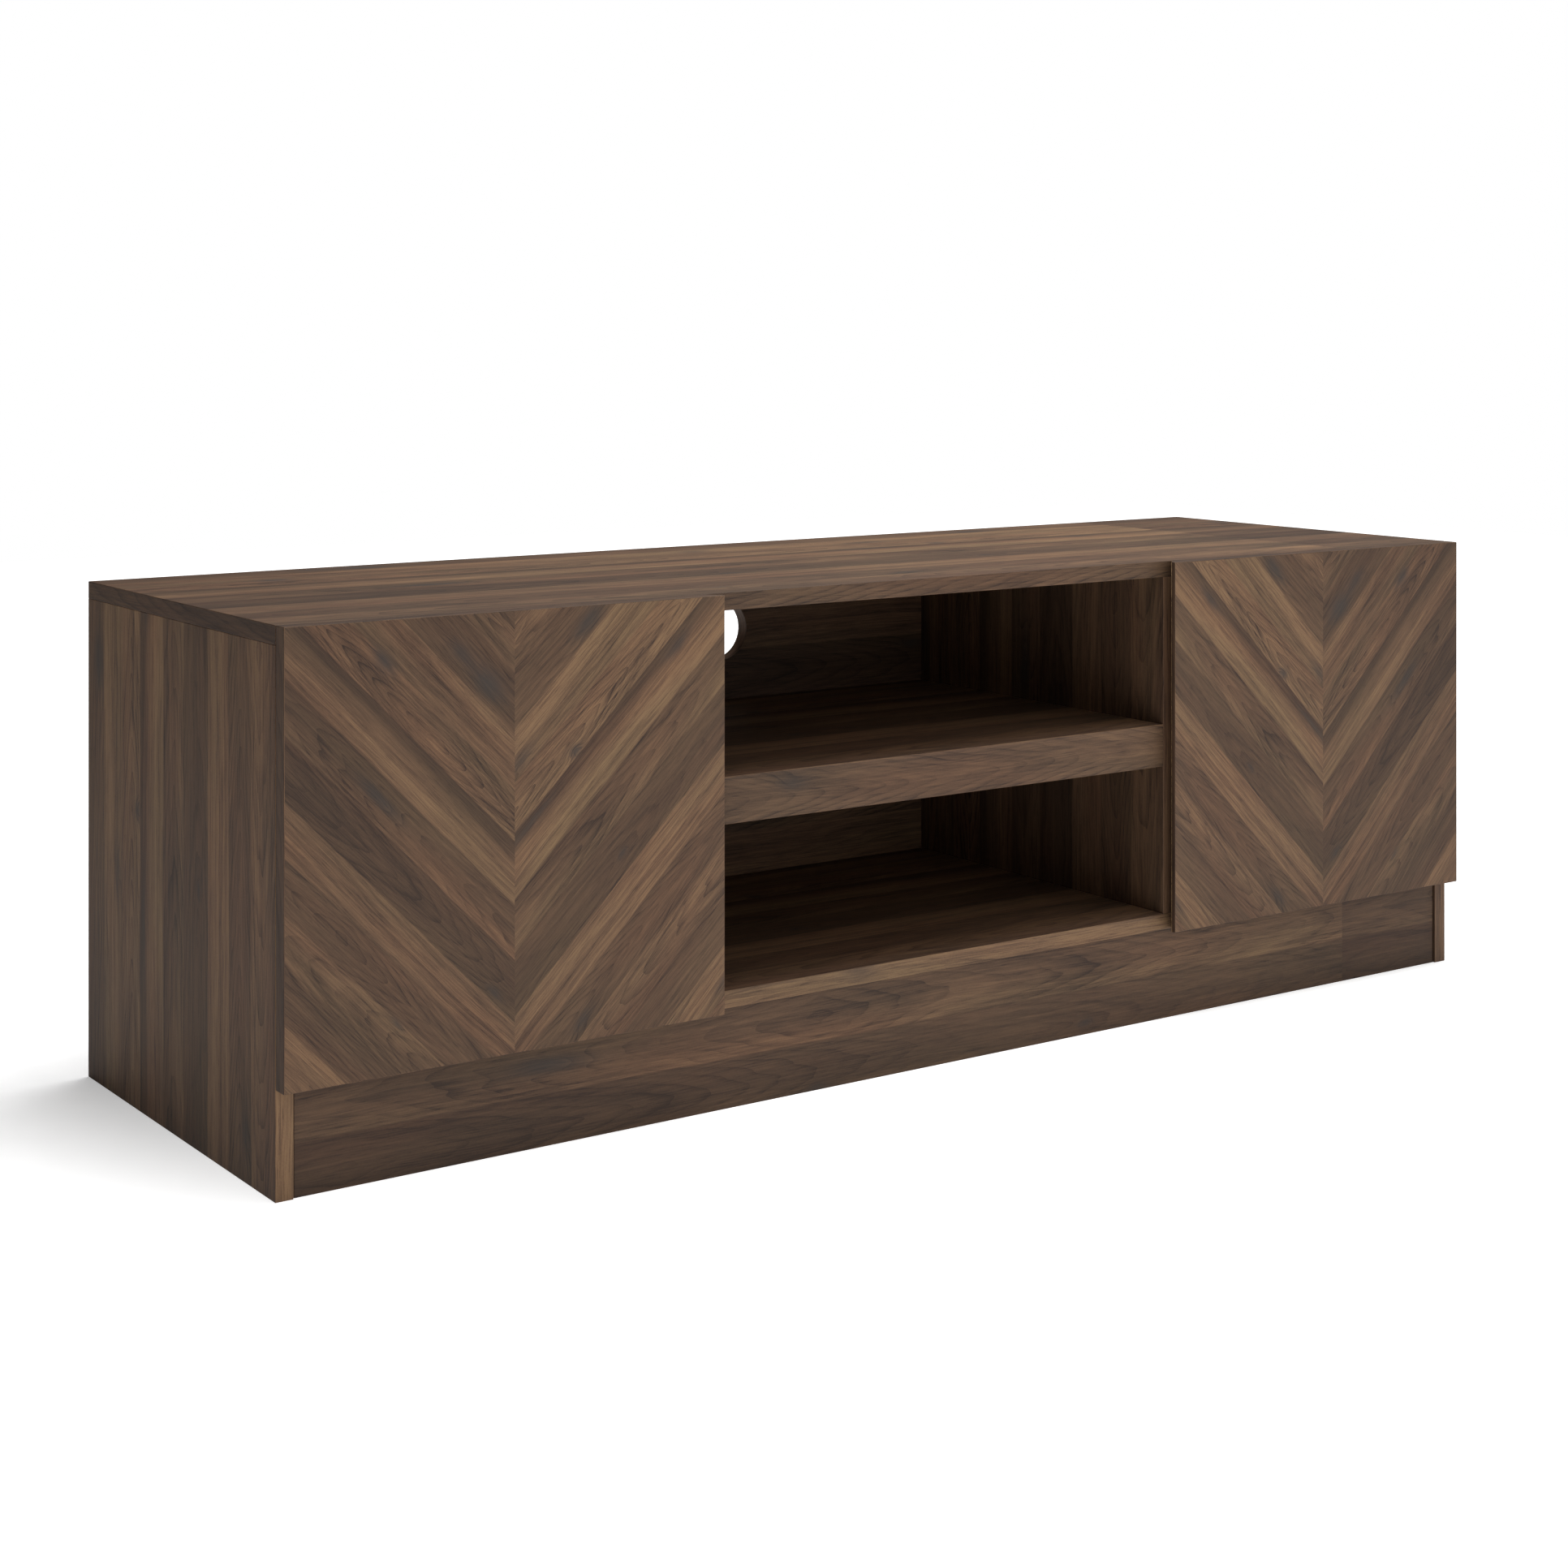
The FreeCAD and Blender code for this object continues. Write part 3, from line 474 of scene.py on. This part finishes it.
def raw_beech():
    """Raw turned beech for the dowels: pale pink-brown and dull, with short dark flecks."""
    settings = bpy.context.scene.stand_fittings
    material, tree, shader = new_material("raw_beech")
    place = add(tree, "TexCoord").outputs["Object"]
    fleck = add(tree, "TexNoise", {"Vector": place, "Scale": 1 / (1.2 * MM), "Detail": 2.0, "Roughness": 0.7})
    colour = with_stops(add(tree, "ValToRGB", (fleck,)), [
        (0.35, shaded(settings.beech, 0.75)), (0.55, shaded(settings.beech)), (0.75, shaded(settings.beech, 1.2))])
    tree.links.new(colour.outputs[0], shader.inputs["Base Color"])
    shader.inputs["Roughness"].default_value = 0.7
    bump = add(tree, "Bump", {"Strength": 0.3, "Distance": 0.1 * MM, "Height": fleck})
    tree.links.new(bump.outputs[0], shader.inputs["Normal"])
    return material


def polyurethane_pad():
    """Self-stick bumper: a cloudy, rubbery drop that lets some light through and keeps a small highlight."""
    settings = bpy.context.scene.stand_fittings
    material, tree, shader = new_material("polyurethane_pad")
    place = add(tree, "TexCoord").outputs["Object"]
    cloud = add(tree, "TexNoise", {"Vector": place, "Scale": 1 / (3 * MM), "Detail": 2.0})
    colour = with_stops(add(tree, "ValToRGB", (cloud,)), [
        (0.3, shaded(settings.pad, 0.85)), (0.7, shaded(settings.pad))])
    tree.links.new(colour.outputs[0], shader.inputs["Base Color"])
    shader.inputs["Roughness"].default_value = 0.32
    shader.inputs["IOR"].default_value = 1.5
    shader.inputs["Transmission Weight"].default_value = 0.45
    return material


MAKERS = {maker.__name__: maker for maker in (
    raw_chipboard, cast_zinc, zinc_plated_steel, nickel_plated_steel, raw_beech, polyurethane_pad)}


def finish_named(name):
    """A finish, made the first time it is asked for."""
    if name in bpy.data.materials:
        return bpy.data.materials[name]
    return MAKERS[name]() if name in MAKERS else walnut_laminate(name)


# ---------------------------------------------------------------- boards
def node_mesh(node):
    """A CAD node's mesh as a bmesh, merged and with its flat faces joined up."""
    bm = bmesh.new()
    bm.from_mesh(frame["nodes"][node].data)
    bmesh.ops.remove_doubles(bm, verts=bm.verts, dist=1e-6)
    bmesh.ops.dissolve_limit(bm, angle_limit=math.radians(0.5), verts=bm.verts, edges=bm.edges)
    return bm


def round_long_edges(bm, radius, shortest, segments=2):
    """Rounds the sharp straight edges of at least that length."""
    sharp = [e for e in bm.edges
             if e.calc_length() >= shortest and len(e.link_faces) == 2
             and e.calc_face_angle() > math.radians(30)]
    bmesh.ops.bevel(bm, geom=sharp, offset=radius, offset_type="OFFSET", segments=segments,
                    profile=0.5, affect="EDGES", clamp_overlap=True, material=-1)


def body_of_node(node):
    """The body that a CAD node rides on."""
    for body, nodes in frame["record"]["behaviour"]["bodies"].items():
        if node in nodes:
            return body
    raise ValueError(f"{node} is in no body")


def finished_piece(bm, name, node, materials):
    """Makes the object from a bmesh, stands it in for its CAD node and sets it riding on the node's body."""
    mesh = bpy.data.meshes.new(name)
    bm.to_mesh(mesh)
    bm.free()
    for material in materials:
        mesh.materials.append(finish_named(material))
    piece = bpy.data.objects.new(name, mesh)
    bpy.context.scene.collection.objects.link(piece)
    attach(piece, body_of_node(node))
    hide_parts(node)


class Board:
    """A board's box, thickness axis and grain axis, and where its print is laid.

    start is the print's (u, v) in mm at the board's low corner, flip the way it runs from there, and bands the
    same start for each edge band, by the axis across it. hole_wall is the finish inside the holes.
    """

    def __init__(self, node, grain, start=(0.0, 0.0), flip=(1, 1), bands=None, hole_wall=2):
        self.node = node
        self.low, self.high = (Vector(corner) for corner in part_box(node))
        self.size = self.high - self.low
        self.thin = min(range(3), key=lambda axis: self.size[axis])
        self.grain = grain
        self.start = start
        self.flip = flip
        self.bands = bands or {}
        self.hole_wall = hole_wall

    def is_outside(self, face, axis):
        """True if a face lies on one of the two box planes across an axis."""
        centre = face.calc_center_median()[axis]
        near = 0.05 * MM
        return abs(centre - self.low[axis]) < near or abs(centre - self.high[axis]) < near

    def axes(self, normal_axis):
        """(along, across) axes of the print on a face: with the grain, or lengthways on an edge band."""
        others = [axis for axis in range(3) if axis != normal_axis]
        if normal_axis == self.thin and self.grain in others:
            along = self.grain
        else:
            along = max(others, key=lambda axis: self.size[axis])
        across = next(axis for axis in others if axis != along)
        return along, across

    def print_place(self, point, normal_axis):
        """The print's (u, v) in metres at a point of a face."""
        along, across = self.axes(normal_axis)
        if normal_axis == self.thin:
            u, v, flip = self.start[0], self.start[1], self.flip
        else:
            (u, v), flip = self.bands.get(normal_axis, PLAIN_BAND_START), (1, 1)
        u = u * MM + flip[0] * (point[along] - self.low[along])
        v = v * MM + flip[1] * (point[across] - self.low[across])
        return u, v


def main_axis(normal):
    """The axis that a face looks along most."""
    return max(range(3), key=lambda axis: abs(normal[axis]))


def dress_board(bm, board, place=None):
    """Gives every face its print coordinates and its material, by its number in BOARD_FINISHES.

    place, if given, is asked first for a face's print coordinates, and returns None to leave them to the board.
    """
    layer = bm.loops.layers.uv.new(PRINT_UV)
    largest_hole_face = 2000 * MM * MM
    bm.normal_update()
    for face in bm.faces:
        axis = main_axis(face.normal)
        square = abs(face.normal[axis]) > 0.999
        if square and board.is_outside(face, axis):
            face.material_index = 0 if axis == board.thin else 1
        elif (any(board.is_outside(face, a) for a in range(3)) or is_at_edge(face, board)
              or face.calc_area() > largest_hole_face):
            face.material_index = 1
        else:
            face.material_index = board.hole_wall
            face.smooth = True
        for loop in face.loops:
            spot = place(loop.vert.co, face) if place else None
            loop[layer].uv = spot or board.print_place(loop.vert.co, axis)


def is_at_edge(face, board):
    """True for the small rounding faces along the board's outer edges."""
    centre = face.calc_center_median()
    reach = 1.0 * MM      # twice the radius that the edges are rounded to
    close = [min(centre[a] - board.low[a], board.high[a] - centre[a]) < reach for a in range(3)]
    return sum(close) >= 2


def make_board(board):
    """Rounds, dresses and finishes a plain board."""
    settings = bpy.context.scene.stand_board
    bm = node_mesh(board.node)
    round_long_edges(bm, settings.edge_round, SHORTEST_ROUNDED_EDGE)
    dress_board(bm, board)
    finished_piece(bm, f"{board.node}_board", board.node, BOARD_FINISHES)


class STAND_OT_carcass(bpy.types.Operator):
    """Lays the print on the top, sides, bottom, back, dividers and plinths"""

    bl_idname = "stand.carcass"
    bl_label = "Carcass Boards"

    def execute(self, context):
        repeat = print_height()
        boards = (
            Board("top_panel", 0, start=(0, repeat), flip=(1, -1), bands={0: (150, 224), 1: (140, 314)}),
            Board("left_side_panel", 2, start=(600, repeat), flip=(1, -1), bands={1: (820, 44), 2: (100, 320)}),
            Board("right_side_panel", 2, start=(80, repeat), flip=(1, -1), bands={1: (420, 272), 2: (100, 320)}),
            Board("bottom_panel", 0, start=(240, repeat), flip=(1, -1), bands={1: (60, 46)}),
            Board("back_panel", 0, start=(777, 40), hole_wall=1),
            Board("left_divider", 2, start=(140, repeat), flip=(1, -1)),
            Board("right_divider", 2, start=(20, repeat), flip=(1, -1)),
            Board("front_plinth", 0, start=(16, 262), flip=(1, -1)),
            Board("rear_plinth", 0, start=(300, 262), flip=(1, -1)),
        )
        for board in boards:
            make_board(board)
        return {"FINISHED"}


class STAND_OT_shelf(bpy.types.Operator):
    """Lays the print on the bay's shelf and its deep built-up front"""

    bl_idname = "stand.shelf"
    bl_label = "Bay Shelf"

    def execute(self, context):
        repeat = print_height()
        for board in (
            Board("centre_shelf", 0, start=(620, repeat), flip=(1, -1)),
            Board("shelf_buildup_strip", 0, start=(620, 200), flip=(1, -1)),
            Board("shelf_edge_band", 0, start=(560, 316)),
        ):
            make_board(board)
        return {"FINISHED"}


# ---------------------------------------------------------------- doors
class ChevronPrint:
    """Places the print in a V on a door's front: mirrored about the seam, cut 45 degrees to it."""

    PLANK_START = 124 * MM      # across the print, to the start of its fourth plank
    # for each half: height of that plank at the seam, the print's own start along the grain, and the way it runs
    HINGE_HALF = (253.0 * MM, 658 * MM, -1)
    OPENING_HALF = (258.0 * MM, 474 * MM, 1)

    def __init__(self, door, hinge_side, settings, board_settings):
        self.door = door
        self.hinge_side = hinge_side
        self.scale = settings.chevron_scale
        hinge_x = door.low.x if hinge_side < 0 else door.high.x
        self.seam = hinge_x - hinge_side * board_settings.seam_from_hinge

    def __call__(self, point, face):
        """(u, v) on the front face, or None elsewhere."""
        if face.normal.y > -0.999:
            return None
        out = (face.calc_center_median().x - self.seam) * self.hinge_side
        aside = abs(point.x - self.seam)
        stretch = math.sqrt(2) * self.scale
        # the half beside the hinge runs down to the seam, the other half runs up from it
        if out > 0:
            plank_at, start, run = self.HINGE_HALF
        else:
            plank_at, start, run = self.OPENING_HALF
        v = self.PLANK_START + (plank_at - point.z + aside) / stretch
        u = start + run * (point.z + aside) / stretch
        return u, v


def split_at(bm, x):
    """Cuts every face along an upright plane, so that each half can carry its own print."""
    geometry = list(bm.verts) + list(bm.edges) + list(bm.faces)
    bmesh.ops.bisect_plane(bm, geom=geometry, dist=1e-7, plane_co=(x, 0, 0), plane_no=(1, 0, 0))


class STAND_OT_doors(bpy.types.Operator):
    """Makes both doors with the chevron print, mirror images of each other"""

    bl_idname = "stand.doors"
    bl_label = "Chevron Doors"

    def execute(self, context):
        scene = context.scene
        for name, hinge_side in (("left_door_panel", -1), ("right_door_panel", 1)):
            door = Board(name, 2, start=(90, 60), bands={0: (200, 225), 2: (200, 225)})
            chevron = ChevronPrint(door, hinge_side, scene.stand_print, scene.stand_board)
            bm = node_mesh(name)
            round_long_edges(bm, scene.stand_board.edge_round, SHORTEST_ROUNDED_EDGE)
            split_at(bm, chevron.seam)
            dress_board(bm, door, chevron)
            finished_piece(bm, f"{name}_board", name, BOARD_FINISHES)
        return {"FINISHED"}


# ---------------------------------------------------------------- ironmongery
FINISHES = {
    "cam_locks": "cast_zinc",
    "cam_bolts": "zinc_plated_steel",
    "wood_dowels": "raw_beech",
    "panel_screws": "zinc_plated_steel",
    "strip_screws": "zinc_plated_steel",
    "cup_screws": "zinc_plated_steel",
    "cup_pins": "nickel_plated_steel",
    "arm_pins": "nickel_plated_steel",
    "hinge_links": "nickel_plated_steel",
    "plate_screws": "zinc_plated_steel",
    "adjusting_screws": "zinc_plated_steel",
    "door_bumpers": "polyurethane_pad",
}
PRESSED_STEEL = ("hinge_cups", "hinge_arms", "mounting_plates")


def bare_name(node):
    """A node's name without its side."""
    return node.removeprefix("left_").removeprefix("right_")


class STAND_OT_fixings(bpy.types.Operator):
    """Finishes the cams, bolts, dowels, screws, pins and pads"""

    bl_idname = "stand.fixings"
    bl_label = "Fixings"

    def execute(self, context):
        for name, node in frame["nodes"].items():
            finish = FINISHES.get(bare_name(name))
            if finish:
                node.data.materials.clear()
                node.data.materials.append(finish_named(finish))
        return {"FINISHED"}


class STAND_OT_hinges(bpy.types.Operator):
    """Makes the pressed parts of the concealed hinges, with their edges softened by the press"""

    bl_idname = "stand.hinges"
    bl_label = "Concealed Hinges"

    def execute(self, context):
        for name in list(frame["nodes"]):
            if bare_name(name) in PRESSED_STEEL:
                bm = node_mesh(name)
                round_long_edges(bm, 0.18 * MM, 1.8 * MM)
                finished_piece(bm, f"{name}_pressing", name, ("nickel_plated_steel",))
        return {"FINISHED"}


# ---------------------------------------------------------------- stage
def white_floor(paper_colour, glow):
    """Matt studio paper, made to glow white to the camera as an overexposed product shot shows it, with only a faint
    shadow left, and given a painted glow in front of the doors that lights them.
    """
    material = bpy.data.materials.new("studio_paper")
    material.use_nodes = True
    tree = material.node_tree
    tree.nodes.clear()
    place = add(tree, "TexCoord").outputs["Object"]
    fleck = add(tree, "TexNoise", {"Vector": place, "Scale": 40.0, "Detail": 2.0})
    colour = with_stops(add(tree, "ValToRGB", (fleck,)), [
        (0.3, shaded(paper_colour, 0.95)), (0.7, shaded(paper_colour))])
    paper = add(tree, "BsdfDiffuse", {"Color": colour})
    away = add(tree, "VectorMath", (place,), operation="LENGTH").outputs["Value"]
    # the paper glows to the camera alone, more with distance, which leaves no line where it meets the white beyond
    lift = add(tree, "MapRange", {"Value": away, "From Min": 0.8, "From Max": 2.4, "To Min": 0.28, "To Max": 1.0})
    seen = add(tree, "LightPath").outputs["Is Camera Ray"]
    # the paper in front glows, a painted glow brighter than the rest of the floor, and throws its light up at the
    # doors
    towards = add(tree, "VectorMath", (place, (-0.10, -0.95, 0.0)), operation="DOT_PRODUCT").outputs["Value"]
    thrown = add(tree, "MapRange", {
        "Value": towards, "From Min": -0.2, "From Max": 0.6, "To Min": 0.0, "To Max": glow,
    }, interpolation_type="SMOOTHSTEP")
    strength = add(tree, "Math", (lift, seen, thrown), operation="MULTIPLY_ADD")
    light = add(tree, "Emission", {"Strength": strength})
    add(tree, "OutputMaterial", {"Surface": add(tree, "AddShader", (paper, light))})
    bm = bmesh.new()
    bmesh.ops.create_grid(bm, x_segments=4, y_segments=4, size=FLOOR_HALF_WIDTH)
    mesh = bpy.data.meshes.new("studio_floor")
    bm.to_mesh(mesh)
    bm.free()
    mesh.materials.append(material)
    floor = bpy.data.objects.new("studio_floor", mesh)
    bpy.context.scene.collection.objects.link(floor)


def soft_world(bright, dim):
    """White surroundings to the eye, which light the stand mostly from above and in front."""
    world = bpy.data.worlds.new("studio")
    bpy.context.scene.world = world
    world.use_nodes = True
    tree = world.node_tree
    tree.nodes.clear()
    direction = add(tree, "TexCoord").outputs["Generated"]
    facing = add(tree, "VectorMath", (direction, (0.62, -0.66, 0.42)), operation="DOT_PRODUCT").outputs["Value"]
    strength = add(tree, "MapRange", {
        "Value": facing, "From Min": -0.3, "From Max": 0.9, "To Min": dim, "To Max": bright,
    }, interpolation_type="SMOOTHSTEP")
    seen = add(tree, "Background", {"Color": (1, 1, 1, 1), "Strength": 1.0})
    lit = add(tree, "Background", {"Color": (1, 1, 1, 1), "Strength": strength})
    path = add(tree, "LightPath").outputs["Is Camera Ray"]
    add(tree, "OutputWorld", {"Surface": add(tree, "MixShader", (path, lit, seen))})


def area_light(name, place, target, size, power):
    """A round soft light at a place, aimed at a target."""
    data = bpy.data.lights.new(name, "AREA")
    data.shape = "DISK"
    data.size = size
    data.energy = power
    lamp = bpy.data.objects.new(name, data)
    lamp.location = place
    direction = Vector(target) - Vector(place)
    lamp.rotation_euler = direction.to_track_quat("-Z", "Y").to_euler()
    bpy.context.scene.collection.objects.link(lamp)


class STAND_OT_stage(bpy.types.Operator):
    """Sets the pale floor, the soft light and the camera"""

    bl_idname = "stand.stage"
    bl_label = "Stage"

    def execute(self, context):
        scene = context.scene
        stage = scene.stand_stage
        scene.view_settings.view_transform = "Standard"
        white_floor(stage.paper, stage.floor_glow)
        soft_world(stage.sky, stage.dim_sky)
        area_light("key", (0.3, 0.1, 3.0), (0.1, 0, 0.4), 2.0, stage.key_power)
        data = bpy.data.cameras.new("camera")
        data.sensor_width = 36.0
        data.lens = stage.lens
        data.shift_y = stage.shift_y
        data.clip_end = 60.0
        camera = bpy.data.objects.new("camera", data)
        camera.location = CAMERA_PLACE
        camera.rotation_euler = (math.radians(90), 0, stage.azimuth)
        scene.collection.objects.link(camera)
        scene.camera = camera
        return {"FINISHED"}


# ---------------------------------------------------------------- panel and registration
class STAND_PT_panel(bpy.types.Panel):
    """Lists the steps and their settings"""

    bl_label = "Television Stand"
    bl_idname = "STAND_PT_panel"
    bl_space_type = "VIEW_3D"
    bl_region_type = "UI"
    bl_category = "Stand"

    def draw(self, context):
        for group in ("stand_print", "stand_board", "stand_fittings", "stand_stage"):
            settings = getattr(context.scene, group)
            for name in settings.__annotations__:
                self.layout.prop(settings, name)
        for operator in OPERATORS:
            self.layout.operator(operator.bl_idname)


OPERATORS = (STAND_OT_carcass, STAND_OT_shelf, STAND_OT_doors, STAND_OT_fixings, STAND_OT_hinges, STAND_OT_stage)


def register():
    for cls in (*SETTINGS, *OPERATORS, STAND_PT_panel):
        bpy.utils.register_class(cls)
    bpy.types.Scene.stand_print = bpy.props.PointerProperty(type=PrintSettings)
    bpy.types.Scene.stand_board = bpy.props.PointerProperty(type=BoardSettings)
    bpy.types.Scene.stand_fittings = bpy.props.PointerProperty(type=FittingSettings)
    bpy.types.Scene.stand_stage = bpy.props.PointerProperty(type=StageSettings)


def unregister():
    del bpy.types.Scene.stand_stage
    del bpy.types.Scene.stand_fittings
    del bpy.types.Scene.stand_board
    del bpy.types.Scene.stand_print
    for cls in reversed((*SETTINGS, *OPERATORS, STAND_PT_panel)):
        bpy.utils.unregister_class(cls)


def main():
    register()
    bpy.ops.stand.carcass()
    bpy.ops.stand.shelf()
    bpy.ops.stand.doors()
    bpy.ops.stand.fixings()
    bpy.ops.stand.hinges()
    bpy.ops.stand.stage()


if __name__ == "__main__":
    main()
